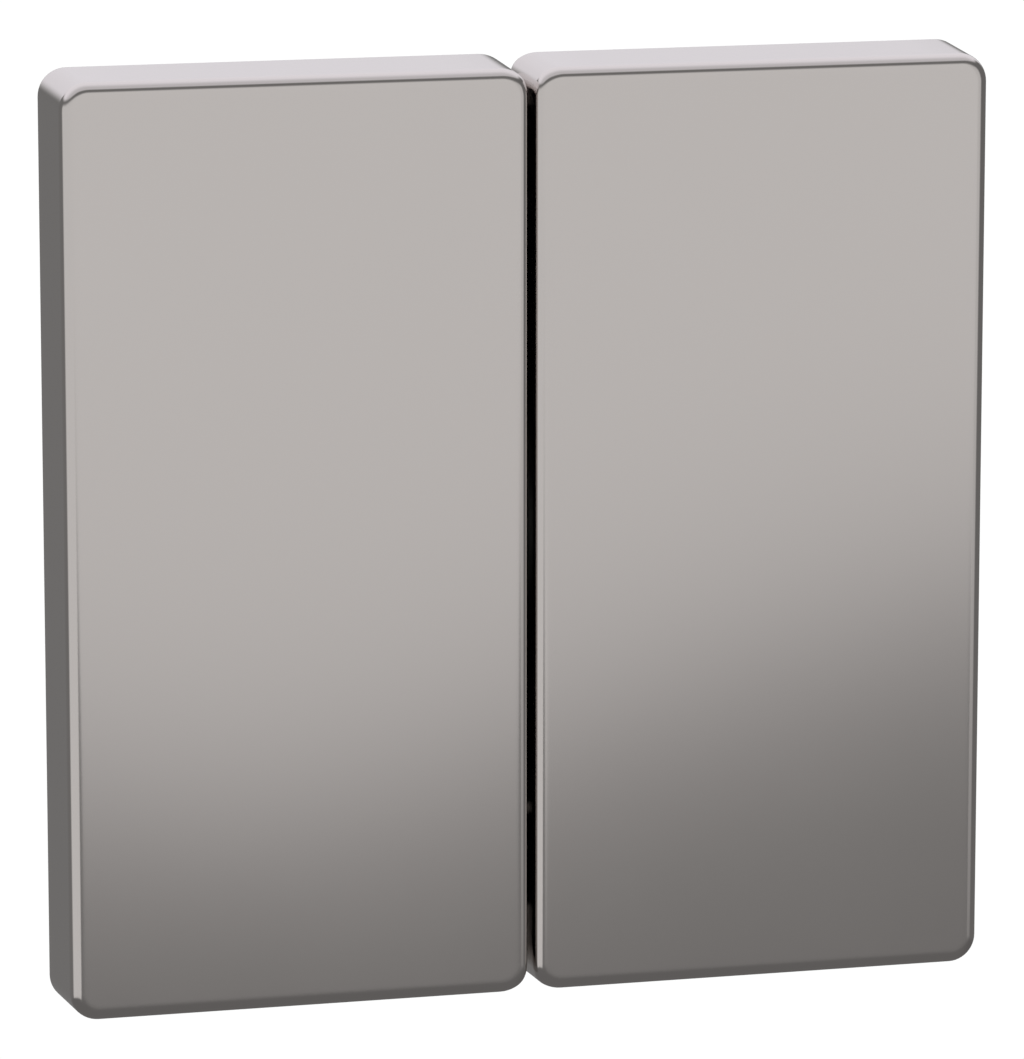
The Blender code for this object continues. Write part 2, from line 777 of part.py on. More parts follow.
def support_plate():
    """The steel plate that lies on the wall, with fixing slots, folded tabs and ears for the claws."""
    front = -PLATE_THICKNESS
    half_width, half_height = PLATE_WIDTH / 2, PLATE_HEIGHT / 2
    body = block_with_corners(
        "support_plate",
        (-half_width, front, -half_height),
        (half_width, 0, half_height),
        PLATE_CORNER,
        5,
    )
    opening = block_with_corners(
        "plate_opening",
        (-OPENING_WIDTH / 2, front - THROUGH, -OPENING_HEIGHT / 2),
        (OPENING_WIDTH / 2, THROUGH, OPENING_HEIGHT / 2),
        HOUSING_CHAMFER,
    )
    cut(body, opening)
    for tag, sign in ENDS.items():
        notch = box(
            "plate_notch_" + tag,
            (-NOTCH_HALF, front - THROUGH, sign * (half_height - NOTCH_DEPTH)),
            (NOTCH_HALF, THROUGH, sign * (half_height + THROUGH)),
        )
        cut(body, notch)
    for place in tab_places():
        join(body, *folded_tab(*place))
    for label, side in SIDES.items():
        cut(body, fixing_slot(label, side))
        hole = rod(
            "plate_screw_hole_" + label,
            (side * CLAW_SCREW_X, front - THROUGH, side * CLAW_Z),
            (side * CLAW_SCREW_X, THROUGH, side * CLAW_Z),
            1.6,
            20,
        )
        cut(body, hole)
        for sign, edge in ((-1, "low"), (1, "high")):
            join(body, ear(f"{edge}_{label}", side, sign))
        pivot = rod(
            "plate_pivot_hole_" + label,
            (side * CLAW_HINGE_X, CLAW_HINGE_Y, side * CLAW_Z - 2 * CLAW_HALF),
            (side * CLAW_HINGE_X, CLAW_HINGE_Y, side * CLAW_Z + 2 * CLAW_HALF),
            1.25,
            16,
        )
        cut(body, pivot)
    return finish(body, *ZINC)


def folded_tab(tag, x, sign):
    """A tab that rises from the plate and folds inwards over a lip of the housing."""
    half, thick = TAB_WIDTH / 2, PLATE_THICKNESS / 2
    rise = box(
        "plate_tab_rise_" + tag,
        (x - half, -TAB_REACH, sign * (TAB_Z - thick)),
        (x + half, -PLATE_THICKNESS + OVERLAP, sign * (TAB_Z + thick)),
    )
    fold = box(
        "plate_tab_fold_" + tag,
        (x - half, -TAB_REACH, sign * (TAB_Z - TAB_FOLD)),
        (x + half, -TAB_REACH + PLATE_THICKNESS, sign * (TAB_Z - thick + OVERLAP)),
    )
    return rise, fold


def ear(tag, side, sign):
    """An ear bent back from the plate, which carries one end of a claw's hinge."""
    z = side * CLAW_Z
    near = CLAW_HALF + 0.4
    return box(
        "plate_ear_" + tag,
        (side * (CLAW_HINGE_X - 1.5), -OVERLAP, z + sign * near),
        (side * (CLAW_HINGE_X + 2.1), CLAW_HINGE_Y + 2.2, z + sign * (near + EAR_THICKNESS)),
    )


def fixing_slot(label, side):
    """The upright slot for a box screw, on the fixing spacing."""
    x, half = side * FIXING_SPACING / 2, SLOT_WIDTH / 2
    return block_with_corners(
        "fixing_slot_" + label,
        (x - half, -PLATE_THICKNESS - THROUGH, -SLOT_LENGTH / 2),
        (x + half, THROUGH, SLOT_LENGTH / 2),
        half * 0.98,
        6,
    )


# Claws


def claw(label, side):
    """A bent steel claw: an arm with teeth, a slotted leg for its screw, and two hinge tabs."""
    x, z, thick = CLAW_HINGE_X, side * CLAW_Z, CLAW_THICKNESS / 2
    leg_half, leg_reach, foot_reach, tab_reach = 2.9, 5.1, 3.4, CLAW_HALF + 1.5
    arm = box(
        "claw_" + label,
        (side * (x - thick), CLAW_HINGE_Y - 0.9, z - CLAW_HALF),
        (side * (x + thick), CLAW_BACK, z + CLAW_HALF),
    )
    leg = box(
        "claw_leg_" + label,
        (side * x, CLAW_LEG_Y, z - leg_half),
        (side * (x + leg_reach), CLAW_LEG_Y + CLAW_THICKNESS, z + leg_half),
    )
    foot = box(
        "claw_foot_" + label,
        (side * x, CLAW_BACK - CLAW_THICKNESS, z - CLAW_HALF),
        (side * (x + foot_reach), CLAW_BACK, z + CLAW_HALF),
    )
    tabs = rod(
        "claw_tabs_" + label,
        (side * x, CLAW_HINGE_Y, z - tab_reach),
        (side * x, CLAW_HINGE_Y, z + tab_reach),
        0.85,
        16,
    )
    join(arm, leg, foot, tabs)
    slot = block_with_corners(
        "claw_slot_" + label,
        (side * (x - THROUGH), CLAW_LEG_Y - 0.2, z - CLAW_SLOT_HALF),
        (side * (x + leg_reach - 0.7), CLAW_SLOT_END, z + CLAW_SLOT_HALF),
        1.2,
        3,
    )
    cut(arm, slot)
    for number in range(3):
        across = z + (number - 1) * TOOTH_PITCH
        notch = rod(
            f"claw_notch_{number}_{label}",
            (side * (x + foot_reach + 1), CLAW_BACK - CLAW_THICKNESS - THROUGH, across),
            (side * (x + foot_reach + 1), CLAW_BACK + THROUGH, across),
            1.75,
            4,
        )
        cut(arm, notch)
    return finish(arm, *ZINC)


def claw_screw(label, side):
    """The screw that draws the claw's leg forwards and so swings its teeth out."""
    return screw(
        "claw_screw_" + label,
        side * CLAW_SCREW_X,
        side * CLAW_Z,
        -PLATE_THICKNESS - FIT,
        CLAW_SCREW_END,
        1.25,
        2.3,
        1.3,
    )


def build():
    base_housing()
    mechanism_cover()
    for tag, sign in ENDS.items():
        cover_screw(tag, sign)
    support_plate()
    common_busbar()
    for label, side in SIDES.items():
        fixed_terminal(label, side)
        fixed_contact(label, side)
        pivot = joint_empty("joint_rocker_" + label, (side * TOGGLE_X, PIVOT_Y, 0), REST_TILT)
        pieces = [
            rocker_shell(label, side),
            rocker_carrier(label, side),
            toggle(label, side),
            plunger_spring(label, side),
            plunger(label, side),
        ]
        carry(pivot, *pieces)
        tip = joint_empty("joint_contact_" + label, (side * TOGGLE_X, CONTACT_PIVOT_Y, 0), -CONTACT_TILT)
        carry(tip, contact_rocker(label, side), moving_contact(label, side))
        hinge = joint_empty("joint_claw_" + label, (side * CLAW_HINGE_X, CLAW_HINGE_Y, side * CLAW_Z))
        carry(hinge, claw(label, side))
        thread = joint_empty("joint_claw_screw_" + label, (side * CLAW_SCREW_X, 0, side * CLAW_Z))
        carry(thread, claw_screw(label, side))
    for label, (x, sign) in CLAMPS.items():
        clamp_spring(label)
        slide = joint_empty("joint_release_" + label, (x, HOUSING_BACK, sign * BUTTON_Z))
        carry(slide, release_button(label))


build()
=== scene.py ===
# %% [markdown]
# # A two-gang rocker wall switch
#
# Two metal rockers stand side by side in front of a flush-mounted insert, a hair's breadth apart
# and with no frame round them. Behind them are a steel plate, a moulded housing, screw-driven claws
# and the contacts. The pieces that everyone sees are worked out here as fine surfaces. The pieces
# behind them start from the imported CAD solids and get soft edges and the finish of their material.

# %% Load the frame
import math
from functools import partial

import bmesh
import bpy
import numpy as np
from mathutils import Matrix, Vector


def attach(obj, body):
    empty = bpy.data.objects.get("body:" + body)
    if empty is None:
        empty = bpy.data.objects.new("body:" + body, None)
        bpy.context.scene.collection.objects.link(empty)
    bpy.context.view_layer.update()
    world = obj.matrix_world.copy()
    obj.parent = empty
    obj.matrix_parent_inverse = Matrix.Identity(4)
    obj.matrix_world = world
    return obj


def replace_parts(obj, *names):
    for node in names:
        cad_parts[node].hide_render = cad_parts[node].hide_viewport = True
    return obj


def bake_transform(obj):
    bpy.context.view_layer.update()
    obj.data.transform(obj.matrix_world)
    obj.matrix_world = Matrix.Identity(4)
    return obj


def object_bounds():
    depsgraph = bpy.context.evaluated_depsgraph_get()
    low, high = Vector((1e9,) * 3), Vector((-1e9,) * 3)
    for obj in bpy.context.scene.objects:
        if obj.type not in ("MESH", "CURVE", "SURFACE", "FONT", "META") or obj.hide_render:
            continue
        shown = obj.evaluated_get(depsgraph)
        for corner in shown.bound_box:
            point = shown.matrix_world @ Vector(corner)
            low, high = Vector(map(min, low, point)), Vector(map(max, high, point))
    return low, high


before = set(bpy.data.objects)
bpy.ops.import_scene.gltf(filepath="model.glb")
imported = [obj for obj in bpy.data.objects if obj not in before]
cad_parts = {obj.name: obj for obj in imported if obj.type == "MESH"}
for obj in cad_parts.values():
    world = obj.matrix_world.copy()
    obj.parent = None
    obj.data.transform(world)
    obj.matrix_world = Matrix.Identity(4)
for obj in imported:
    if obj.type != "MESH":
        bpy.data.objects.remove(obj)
CAD_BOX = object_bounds()
MM = 0.001
SIDES = {"left": -1, "right": 1}
size_mm = [round((high - low) / MM, 1) for low, high in zip(*CAD_BOX)]
print("frame of", len(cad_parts), "solids, millimetres across:", size_mm)

# %% [markdown]
# ## Surfaces from grids
#
# Nearly every made thing can be described as a surface with two directions: round it and along it.
# So a piece here is an array of points, rows by columns, and its faces join each point to the next
# in both directions. The rows close on themselves where the shape is a tube, and a flat end is
# closed by one face through a whole row. Lengths are millimetres until points go into a mesh.


# %% Grids of points become meshes
def grid_faces(rows, columns, first=0):
    """Faces of a grid whose columns close on themselves. The point in row i and column j has number
    i * columns + j, and its face goes on to (i + 1, j), (i + 1, j + 1) and (i, j + 1)."""
    i, j = np.meshgrid(np.arange(rows - 1), np.arange(columns), indexing="ij")
    here, below = i * columns, (i + 1) * columns
    across = (j + 1) % columns
    corners = np.stack([here + j, below + j, below + across, here + across], -1)
    return (corners.reshape(-1, 4) + first).tolist()


def closed_tube(points):
    """A tube of rings, shape (rings, points in a ring, 3), with one flat face over each end."""
    rows, columns = points.shape[:2]
    first_ring = list(range(columns))
    last_ring = list(range((rows - 1) * columns, rows * columns))
    return points.reshape(-1, 3), grid_faces(rows, columns) + [first_ring, last_ring[::-1]]


def piece(name, shapes, body, finish, sharp=38.0):
    """One object from several (points, faces) shapes in millimetres, riding on a CAD body. A piece
    that is given no body rides on none."""
    points = np.concatenate([shape[0] for shape in shapes])
    faces, start = [], 0
    for own_points, own_faces in shapes:
        faces += [(np.array(face) + start).tolist() for face in own_faces]
        start += len(own_points)
    mesh = bpy.data.meshes.new(name)
    mesh.from_pydata((points * MM).tolist(), [], faces)
    return settle(name, mesh, body, finish, sharp)


WELD_M = 1e-7


def settle(name, mesh, body, finish, sharp):
    """Welds the mesh, turns its faces outwards, shades it smooth up to its sharp edges, which turn
    by more than the angle in degrees, and puts it on its body."""
    bm = bmesh.new()
    bm.from_mesh(mesh)
    bmesh.ops.remove_doubles(bm, verts=bm.verts, dist=WELD_M)
    bmesh.ops.recalc_face_normals(bm, faces=bm.faces)
    bm.to_mesh(mesh)
    bm.free()
    mesh.shade_smooth()
    mesh.set_sharp_from_angle(angle=math.radians(sharp))
    mesh.materials.clear()
    mesh.materials.append(finish)
    obj = bpy.data.objects.new(name, mesh)
    bpy.context.scene.collection.objects.link(obj)
    if body:
        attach(obj, body)
    return obj


print("a test grid of 3 rows and 4 columns has", len(grid_faces(3, 4)), "faces")

# %% [markdown]
# ## Shader sums as Python sums
#
# A finish is a small sum: a roughness, plus a little cloudiness, plus some grain. Drawing that as
# node boxes hides it. The class below wraps a socket, so that a plus sign adds a Math node and the
# whole sum can be read in one line. Every other node comes from one method.


# %% A socket that can be added, taken away and multiplied
class Value:
    """A shader socket in arithmetic: each operator adds one Math node to its tree."""

    def __init__(self, tree, socket):
        self.tree, self.socket = tree, socket

    def sum(self, operation, *terms):
        """Any other Math operation, by its name, on the terms alone."""
        return self.tree.node("ShaderNodeMath", {"operation": operation}, dict(enumerate(terms)))

    def __add__(self, other):
        return self.sum("ADD", self, other)

    def __sub__(self, other):
        return self.sum("SUBTRACT", self, other)

    def __rsub__(self, other):
        return self.sum("SUBTRACT", other, self)

    def __mul__(self, other):
        return self.sum("MULTIPLY", self, other)

    __radd__ = __add__
    __rmul__ = __mul__


# %% A tree that nodes are added to. Sockets that share a name are found by their place
OBJECT = 3
MIX_FACTOR, MIX_FIRST, MIX_SECOND, MIX_RESULT = 0, 6, 7, 2


class Tree:
    """A node tree of a material or of the world, with one method that adds any node."""

    def __init__(self, nodes, links):
        self.nodes, self.links = nodes, links

    def node(self, kind, settings=None, inputs=None, output=0):
        """Adds a node, makes its settings, fills its sockets with numbers or links, and gives the
        output that was asked for."""
        made = self.nodes.new(kind)
        for name, value in (settings or {}).items():
            setattr(made, name, value)
        for name, value in (inputs or {}).items():
            if isinstance(value, Value):
                self.links.new(value.socket, made.inputs[name])
            else:
                made.inputs[name].default_value = value
        return Value(self, made.outputs[output])

    def step(self, value, start, end, low=0.0, high=1.0):
        """A smooth step: low before start, high after end, and an S-shaped rise between them."""
        span = {"Value": value, "From Min": start, "From Max": end, "To Min": low, "To Max": high}
        return self.node("ShaderNodeMapRange", {"interpolation_type": "SMOOTHSTEP"}, span)

    def noise(self, scale, detail=2.0, stretch=None):
        """Noise from 0 to 1 in object space. Its scale is in waves per metre, before a stretch."""
        place = self.node("ShaderNodeTexCoord", output=OBJECT)
        if stretch:
            place = self.node("ShaderNodeMapping", {}, {"Vector": place, "Scale": stretch})
        settings = {"Vector": place, "Scale": scale, "Detail": detail}
        return self.node("ShaderNodeTexNoise", {}, settings)

    def blend(self, factor, first, second):
        """A colour between two colours."""
        mix = {MIX_FACTOR: factor, MIX_FIRST: (*first, 1.0), MIX_SECOND: (*second, 1.0)}
        return self.node("ShaderNodeMix", {"data_type": "RGBA"}, mix, output=MIX_RESULT)


# %% A material and what is linked to its shader
METAL, NOT_METAL = 1.0, 0.0


def material(name, metallic):
    """A new material with its tree and its Principled shader. Metallic is the same all over."""
    made = bpy.data.materials.new(name)
    made.use_nodes = True
    shader = made.node_tree.nodes["Principled BSDF"]
    shader.inputs["Metallic"].default_value = metallic
    return made, Tree(made.node_tree.nodes, made.node_tree.links), shader


def feed(tree, shader, colour, roughness, height, depth_mm):
    """Links what varies over a surface to the shader: its colour, its roughness, and a bump whose
    height goes from 0 to the depth."""
    tree.links.new(colour.socket, shader.inputs["Base Color"])
    tree.links.new(roughness.socket, shader.inputs["Roughness"])
    relief = {"Height": height, "Distance": depth_mm * MM, "Strength": 1.0}
    bump = tree.node("ShaderNodeBump", {}, relief)
    tree.links.new(bump.socket, shader.inputs["Normal"])


print("shader sums ready")

# %% [markdown]
# ## Satin metal for the rockers
#
# The rockers are die-cast metal with a fine satin plating. At arm's length the face is even, and it
# shows soft, slightly blurred reflections of the room, so most of the look is in the roughness: low
# enough to hold the edge of a dark area, high enough to blur it. The grain is fine and very
# shallow, about a tenth of a thousandth of a millimetre, and a faint cloudiness stands for
# handling.


# %% Satin metal
SATIN_DARK, SATIN_LIGHT = (0.660, 0.630, 0.612), (0.690, 0.660, 0.642)
SATIN_ROUGHNESS = 0.106
SATIN_CLOUDS, SATIN_GRAINS = 55.0, 5200.0
SATIN_DEPTH_MM = 0.00012


def satin_metal():
    """Colour = between two warm greys by cloud and grain. Roughness = base + cloud + grain."""
    made, tree, shader = material("satin_metal", METAL)
    cloud = tree.noise(SATIN_CLOUDS, 3.0)
    grain = tree.noise(SATIN_GRAINS, 2.0)
    colour = tree.blend(cloud * 0.6 + grain * 0.4, SATIN_DARK, SATIN_LIGHT)
    roughness = SATIN_ROUGHNESS + 0.012 * cloud + 0.006 * grain
    feed(tree, shader, colour, roughness, grain, SATIN_DEPTH_MM)
    return made


SATIN = satin_metal()
print("made", SATIN.name)

# %% [markdown]
# ## Moulded plastic
#
# The carriers, the toggles, the housing and the cover are injection moulded. A spark-eroded mould
# leaves a fine even texture, which is why such plastic is dull without being rough. The colour is
# almost flat, with slight flow marks. One function makes them all from a colour and a gloss.


# %% Plastics
FLOW_MARKS, MOULD_TEXTURE = 140.0, 3600.0
ALONG_THE_FLOW = (1.0, 0.35, 1.0)
ROUGH_MM, FINE_MM = 0.012, 0.006


def plastic(name, dark, light, roughness, texture_mm=ROUGH_MM):
    """Colour = between dark and light by flow marks and texture. Roughness = its own + both."""
    made, tree, shader = material(name, NOT_METAL)
    shader.inputs["IOR"].default_value = 1.5
    flow = tree.noise(FLOW_MARKS, 4.0, ALONG_THE_FLOW)
    texture = tree.noise(MOULD_TEXTURE, 2.0)
    colour = tree.blend(flow * 0.75 + texture * 0.25, dark, light)
    uneven = roughness - 0.04 + 0.1 * flow + 0.06 * texture
    feed(tree, shader, colour, uneven, texture, texture_mm)
    return made


HOUSING = plastic("housing_plastic", (0.155, 0.160, 0.165), (0.190, 0.196, 0.202), 0.46)
COVER = plastic("cover_plastic", (0.024, 0.027, 0.024), (0.034, 0.038, 0.034), 0.42)
CARRIER = plastic("carrier_plastic", (0.20, 0.205, 0.21), (0.25, 0.255, 0.26), 0.48)
TOGGLE = plastic("toggle_plastic", (0.70, 0.69, 0.65), (0.78, 0.77, 0.73), 0.40, FINE_MM)
RELEASE = plastic("release_plastic", (0.66, 0.22, 0.035), (0.76, 0.29, 0.05), 0.40, FINE_MM)
print("plastics: housing, cover, carrier, toggle, release")

# %% [markdown]
# ## Plated steel, brass and silver
#
# Pressed steel is zinc plated and passivated, which leaves a bluish white with faint yellow clouds.
# Brass strip carries the rolling direction as fine lines and darkens where it was handled. Spring
# steel is darker and smoother. One function takes two colours and the direction of the lines.


# %% Metals of the insert
PLATING_CLOUDS, ROLLED_LINES = 160.0, 2400.0
LONG_LINES = (1.0, 0.12, 0.12)


def plated(name, first, second, roughness, lines=None, depth_mm=0.004):
    """Colour = between two colours by a smooth step of clouds and rolled lines. Roughness = its own
    + both. With lines, the rolled noise is drawn out along Y and Z."""
    made, tree, shader = material(name, METAL)
    cloud = tree.noise(PLATING_CLOUDS, 4.0)
    rolled = tree.noise(ROLLED_LINES, 3.0, lines)
    colour = tree.blend(tree.step(cloud * 0.7 + rolled * 0.3, 0.3, 0.7), first, second)
    uneven = roughness + 0.16 * cloud + 0.08 * rolled - 0.1
    feed(tree, shader, colour, uneven, rolled, depth_mm)
    return made


ZINC = plated("zinc_steel", (0.70, 0.72, 0.74), (0.80, 0.79, 0.75), 0.42)
SCREW_STEEL = plated("screw_steel", (0.60, 0.61, 0.62), (0.72, 0.69, 0.60), 0.28)
SPRING_STEEL = plated("spring_steel", (0.36, 0.36, 0.37), (0.46, 0.46, 0.46), 0.26)
BRASS = plated("brass", (0.70, 0.49, 0.22), (0.84, 0.63, 0.31), 0.32, LONG_LINES)
SILVER = plated("silver_contact", (0.82, 0.81, 0.78), (0.91, 0.90, 0.88), 0.24, depth_mm=0.002)
print("metals: zinc, screw steel, spring steel, brass, silver")

# %% [markdown]
# ## The rocker shells
#
# A rocker is a shallow tray: a flat face, four walls that draw in slightly towards the front, a
# rounded front edge and rounded corners. It could be a block with bevels, but the edge is what
# catches the light, so it is worked out as a profile instead. The profile runs from the face over
# the edge, down the wall, round the rim and up inside, and it is carried round an outline with
# rounded corners. In the wall next to the other rocker the rim rises in an arc, which leaves room
# for the web of the bearing.

# %% The rocker's measures, the same as the solid's
GAP, WIDTH, HEIGHT = 0.3, 35.1, 70.0
FRONT, DEPTH, DRAFT = -11.2, 7.6, 0.04
CORNER, FACE_THICKNESS, WALL = 2.1, 1.8, 1.6
PIVOT_Y, REST_TILT = 3.3, 3.5
RELIEF_RADIUS = 12.5

# The front edge: how far in it starts, how square it is, and how the wall by the gap differs. That
# wall leans only a share of the draft, and its edge is drawn out towards the gap.
EDGE, EDGE_POWER = 1.0, 2.6
INNER_DRAFT, INNER_STEEPER = 0.3, 0.3
RIM_ROUND = 0.18
FACE_MARGIN = 0.2
CORNER_STEPS, EDGE_STEPS = 12, 22
print("a rocker is", WIDTH, "by", HEIGHT, "by", DEPTH, "mm, with a gap of", GAP, "mm beside it")


# %% Turning, and the outline with rounded corners
def about_x(points, degrees, pivot_y):
    """Turns points about a level axis at depth pivot_y: y and z rotate, x stays."""
    angle = math.radians(degrees)
    y, z = points[..., 1] - pivot_y, points[..., 2]
    turned_y = pivot_y + y * math.cos(angle) - z * math.sin(angle)
    turned_z = y * math.sin(angle) + z * math.cos(angle)
    return np.stack([points[..., 0], turned_y, turned_z], -1)


def tilt(points):
    """Turns points about the rocker's pivot, from level to rest."""
    return about_x(points, REST_TILT, PIVOT_Y)


def outline(half_width, half_height, inset, radius, long_side, least=0.25):
    """Outlines of a rounded rectangle, one row for each inset: quarter circles joined by straight
    sides. Each corner's circle keeps its centre while its radius shrinks by the inset, down to the
    least radius. long_side holds the shares along the upright sides at which points are wanted."""
    inset = np.asarray(inset, float)[:, None]
    r = np.maximum(radius - inset, least)
    reach = np.stack([half_width - inset - r, half_height - inset - r], -1)
    angle = np.linspace(0, math.pi / 2, CORNER_STEPS + 1)
    corners = []
    for quarter, signs in enumerate(((1, 1), (-1, 1), (-1, -1), (1, -1))):
        turned = angle + quarter * math.pi / 2
        circle = np.stack([np.cos(turned), np.sin(turned)], -1)
        corners.append(reach * signs + r[..., None] * circle[None])
    short_side = np.linspace(0, 1, 12)[1:-1]
    full = []
    for quarter, shares in enumerate((short_side, long_side, short_side, long_side)):
        start, end = corners[quarter][:, -1:], corners[(quarter + 1) % 4][:, :1]
        full += [corners[quarter], start + (end - start) * np.asarray(shares)[None, :, None]]
    return np.concatenate(full, 1)


def relief_shares(half_length):
    """Shares along an upright side: even steps above and below the relief, whose ends are at
    z^2 = radius^2 - distance^2, and within it the sine of even angles."""
    end = math.sqrt(RELIEF_RADIUS**2 - (PIVOT_Y - FRONT - DEPTH) ** 2)
    below = np.linspace(-half_length, -end, 9)[1:]
    within = end * np.sin(np.linspace(-math.pi / 2, math.pi / 2, 49))[1:]
    above = np.linspace(end, half_length, 9)[1:-1]
    z = np.concatenate([below, within, above])
    return (z + half_length) / (2 * half_length)


SHARES = relief_shares(HEIGHT / 2 - CORNER)
print("points along an upright side:", len(SHARES))

# %% The section through a wall
FROM_FRONT, FROM_RIM = 0, 1


def shell_profile():
    """The section through a wall as rows of (inset, depth, where the depth is measured from): the
    face's margin, a quarter of a superellipse over the front edge, |x|^n + |y|^n = 1, which leaves
    the face more gently than a circle does, then the wall, a small round on each side of the rim,
    and the inside."""
    over = np.linspace(0, math.pi / 2, EDGE_STEPS + 1)
    bend_inset = EDGE * (1 - np.sin(over) ** (2 / EDGE_POWER))
    bend_depth = EDGE * (1 - np.maximum(np.cos(over), 0.0) ** (2 / EDGE_POWER))
    bend = np.stack([bend_inset, bend_depth, np.full(len(over), FROM_FRONT)], -1)
    around = np.linspace(0, math.pi / 2, 5)
    round_inset = RIM_ROUND * (1 - np.cos(around))
    round_depth = RIM_ROUND * (1 - np.sin(around))
    from_rim = np.full(len(around), FROM_RIM)
    rim = np.stack([round_inset, round_depth, from_rim], -1)
    inner = np.stack([WALL - round_inset, round_depth, from_rim], -1)[::-1]
    margin = [(EDGE + FACE_MARGIN, 0.0, FROM_FRONT)]
    wall = [(0.0, EDGE + 0.12, FROM_FRONT), (0.0, RIM_ROUND + 0.05, FROM_RIM)]
    ceiling = [(WALL, FACE_THICKNESS + 0.05, FROM_FRONT), (WALL + 0.15, FACE_THICKNESS, FROM_FRONT)]
    return np.concatenate([margin, bend, wall, rim, inner, ceiling])


print("points in the section:", len(shell_profile()))


# %% The two shells
def rocker_shell(label, side):
    """The outline is carried along the profile. Where a depth is measured from the rim, the rim is
    the back, or on the wall by the gap the circle about the pivot, whichever comes first. Each side
    then draws in by draft times distance from the back, less so towards the gap."""
    profile = shell_profile()
    flat = outline(WIDTH / 2, HEIGHT / 2, profile[:, 0], CORNER, SHARES)
    x, z = side * flat[..., 0], flat[..., 1]
    circle = PIVOT_Y - FRONT - np.sqrt(np.maximum(RELIEF_RADIUS**2 - z**2, 0.0))
    by_gap = flat[..., 0] < -(WIDTH / 2 - CORNER)
    rim = np.where(by_gap, np.minimum(circle, DEPTH), DEPTH)
    from_rim = profile[:, 2:] == FROM_RIM
    depth = np.where(from_rim, rim - profile[:, 1:2], profile[:, 1:2])
    draw_in = DRAFT * (DEPTH - depth)
    towards_gap = 0.5 - flat[..., 0] / WIDTH
    from_gap = flat[..., 0] + WIDTH / 2
    x = x - side * INNER_STEEPER * from_gap * np.exp(-((from_gap / EDGE) ** 2))
    x = x - draw_in * (1 - (1 - INNER_DRAFT) * towards_gap) * x / (WIDTH / 2)
    z = z - draw_in * z / (HEIGHT / 2)
    middle = side * (GAP / 2 + WIDTH / 2)
    points = tilt(np.stack([x + middle, FRONT + depth, z], -1))
    shapes = [closed_tube(points)]
    shell = piece("rocker_face_" + label, shapes, "rocker_" + label, SATIN)
    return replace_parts(shell, "rocker_shell_" + label)


for label, side in SIDES.items():
    shell = rocker_shell(label, side)
    print(shell.name, "has", len(shell.data.polygons), "faces")

# %% [markdown]
# ## Moulded and pressed pieces with soft edges
#
# A mould cannot make a knife edge, and a press leaves a small round on one side of the sheet. The
# CAD solids have the right shape but sharp edges, so a copy of each is welded, its flat areas are
# merged back into single faces, and a narrow Bevel modifier rounds what is left. The copy then
# stands for the solid. The width of the round follows how each piece is made.


# %% Soft edges for the CAD solids
FLAT_DEGREES, SHARP_DEGREES, BEVELLED_DEGREES = 1.0, 30.0, 35.0
ROUND_SEGMENTS = 2


def softened(node, body, finish, width_mm):
    """A copy of a CAD node whose edges are rounded to a width, standing for the node."""
    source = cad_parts[node].data.copy()
    bm = bmesh.new()
    bm.from_mesh(source)
    bmesh.ops.remove_doubles(bm, verts=bm.verts, dist=2 * WELD_M)
    flat = math.radians(FLAT_DEGREES)
    bmesh.ops.dissolve_limit(bm, angle_limit=flat, verts=bm.verts, edges=bm.edges)
    bm.to_mesh(source)
    bm.free()
    made = settle(node + "_soft", source, body, finish, SHARP_DEGREES)
    bevel = made.modifiers.new("soft edges", "BEVEL")
    bevel.width = width_mm * MM
    bevel.segments = ROUND_SEGMENTS
    bevel.limit_method = "ANGLE"
    bevel.angle_limit = math.radians(BEVELLED_DEGREES)
    bevel.harden_normals = True
    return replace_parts(made, node)


# %% The softened copies, with the width of each kind of round in millimetres
HOUSING_ROUND, MOULDED_ROUND, BUTTON_ROUND = 0.25, 0.15, 0.2
PRESSED_ROUND, STRIP_ROUND, LEAF_ROUND = 0.12, 0.1, 0.06
CLAMP_SIDES = {"left": -1, "right": -1, "line": 1}

softened("base_housing", "insert", HOUSING, HOUSING_ROUND)
softened("mechanism_cover", "insert", COVER, MOULDED_ROUND)
softened("support_plate", "insert", ZINC, PRESSED_ROUND)
softened("common_busbar", "insert", BRASS, STRIP_ROUND)
for label in SIDES:
    rocker = "rocker_" + label
    softened("fixed_terminal_" + label, "insert", BRASS, STRIP_ROUND)
    softened("rocker_carrier_" + label, rocker, CARRIER, MOULDED_ROUND)
    softened("toggle_" + label, rocker, TOGGLE, MOULDED_ROUND)
    softened("contact_rocker_" + label, "contact_" + label, BRASS, STRIP_ROUND)
    softened("claw_" + label, "claw_" + label, ZINC, PRESSED_ROUND)
for label in CLAMP_SIDES:
    button, body = "release_button_" + label, "release_" + label
    softened(button, body, RELEASE, BUTTON_ROUND)

# %% [markdown]
# ## Clamp springs
#
# A clamp spring is a hairpin of leaf steel. Its outer leg lies on the housing's wall and its inner
# leg presses on the wire. When the button comes in it pushes the inner leg forwards. Here each
# spring is a softened copy of its solid, fixed in place and on no body.

# %% Clamp springs, fixed in place and on no body
for label, sign in CLAMP_SIDES.items():
    leaf = softened("clamp_spring_" + label, None, SPRING_STEEL, LEAF_ROUND)
    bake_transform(leaf)
print("springs that bend:", len(CLAMP_SIDES), "leaves")

# %% [markdown]
# ## Screws
#
# A pan-head screw with a straight slot is two surfaces. The head is a field of heights over a round
# disc: rows of points run straight across it, so the slot's two edges fall exactly on rows. The
# shank is a tube whose radius rises and falls with the turn of the thread: the same wave read along
# the screw and round it at once gives a helix.


# %% A slotted head
SLOT_HALF, SLOT_DEPTH = 0.35, 0.6
RIM_SHARE, DOME_SHARE, RIM_DROP = 0.3, 0.18, 0.45


